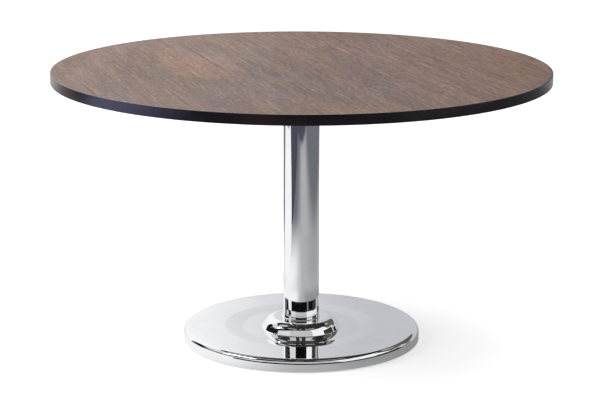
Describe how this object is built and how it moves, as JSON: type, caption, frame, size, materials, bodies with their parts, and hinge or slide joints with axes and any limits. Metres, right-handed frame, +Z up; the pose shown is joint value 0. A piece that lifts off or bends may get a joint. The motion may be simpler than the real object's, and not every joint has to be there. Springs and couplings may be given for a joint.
{
  "type": "cafe table",
  "caption": "Round pedestal table: wood-veneered top with a dark lipping, a chromed column and a low round spun chrome base over a cast iron ballast, on screw-adjusted glides.",
  "frame": {"origin": "on the floor under the middle of the table, where the axis of the column meets the plane of the glides", "axes": "+Z up along the column, +X to the right in the picture, +Y away from its viewer"},
  "size_m": [1.2998, 1.3, 0.73],
  "materials": {
    "face_wood": "brown-grey open-grained veneer, satin lacquer",
    "core_board": "bare board",
    "backing_wood": "plain backing veneer, matt lacquer",
    "dark_lipping": "dark stained, satin lacquer",
    "chrome": "bright chrome plate",
    "black_powder_coat": "fine-textured black powder coat",
    "zinc_steel": "zinc plated",
    "insert_brass": "turned brass",
    "ballast_iron": "sand cast, black primer",
    "pad_plastic": "moulded black plastic"
  },
  "bodies": {
    "root": {"top_veneer": "face_wood", "top_core": "core_board", "backing_veneer": "backing_wood", "edge_lipping": "dark_lipping", "top_inserts": "insert_brass", "mounting_plate": "black_powder_coat", "plate_boss": "black_powder_coat", "plate_screws": "zinc_steel", "plate_washers": "zinc_steel", "column_tube": "chrome", "tie_rod": "zinc_steel", "tie_rod_nuts": "zinc_steel", "head_washer": "zinc_steel", "foot_washer": "zinc_steel", "base_cover": "chrome", "ballast": "ballast_iron"},
    "pad_1": {"glide_pad_1": "pad_plastic"},
    "stem_1": {"glide_stem_1": "zinc_steel"},
    "pad_2": {"glide_pad_2": "pad_plastic"},
    "stem_2": {"glide_stem_2": "zinc_steel"},
    "pad_3": {"glide_pad_3": "pad_plastic"},
    "stem_3": {"glide_stem_3": "zinc_steel"},
    "pad_4": {"glide_pad_4": "pad_plastic"},
    "stem_4": {"glide_stem_4": "zinc_steel"}
  },
  "joints": [
    {"name": "glide_1_drop", "type": "slide", "parent": "root", "child": "pad_1", "axis": [0, 0, -1], "range_m": [0, 0.0075]},
    {"name": "glide_1_turn", "type": "hinge", "parent": "pad_1", "child": "stem_1", "pos_m": [0.19092, 0.19092, 0.01], "axis": [0, 0, -1], "range_deg": [0, 2160]},
    {"name": "glide_2_drop", "type": "slide", "parent": "root", "child": "pad_2", "axis": [0, 0, -1], "range_m": [0, 0.0075]},
    {"name": "glide_2_turn", "type": "hinge", "parent": "pad_2", "child": "stem_2", "pos_m": [-0.19092, 0.19092, 0.01], "axis": [0, 0, -1], "range_deg": [0, 2160]},
    {"name": "glide_3_drop", "type": "slide", "parent": "root", "child": "pad_3", "axis": [0, 0, -1], "range_m": [0, 0.0075]},
    {"name": "glide_3_turn", "type": "hinge", "parent": "pad_3", "child": "stem_3", "pos_m": [-0.19092, -0.19092, 0.01], "axis": [0, 0, -1], "range_deg": [0, 2160]},
    {"name": "glide_4_drop", "type": "slide", "parent": "root", "child": "pad_4", "axis": [0, 0, -1], "range_m": [0, 0.0075]},
    {"name": "glide_4_turn", "type": "hinge", "parent": "pad_4", "child": "stem_4", "pos_m": [0.19092, -0.19092, 0.01], "axis": [0, 0, -1], "range_deg": [0, 2160]}
  ],
  "couplings": [
    {"joint": "glide_1_turn", "follows": "glide_1_drop", "rad_per_m": 5026.5},
    {"joint": "glide_2_turn", "follows": "glide_2_drop", "rad_per_m": 5026.5},
    {"joint": "glide_3_turn", "follows": "glide_3_drop", "rad_per_m": 5026.5},
    {"joint": "glide_4_turn", "follows": "glide_4_drop", "rad_per_m": 5026.5}
  ]
}
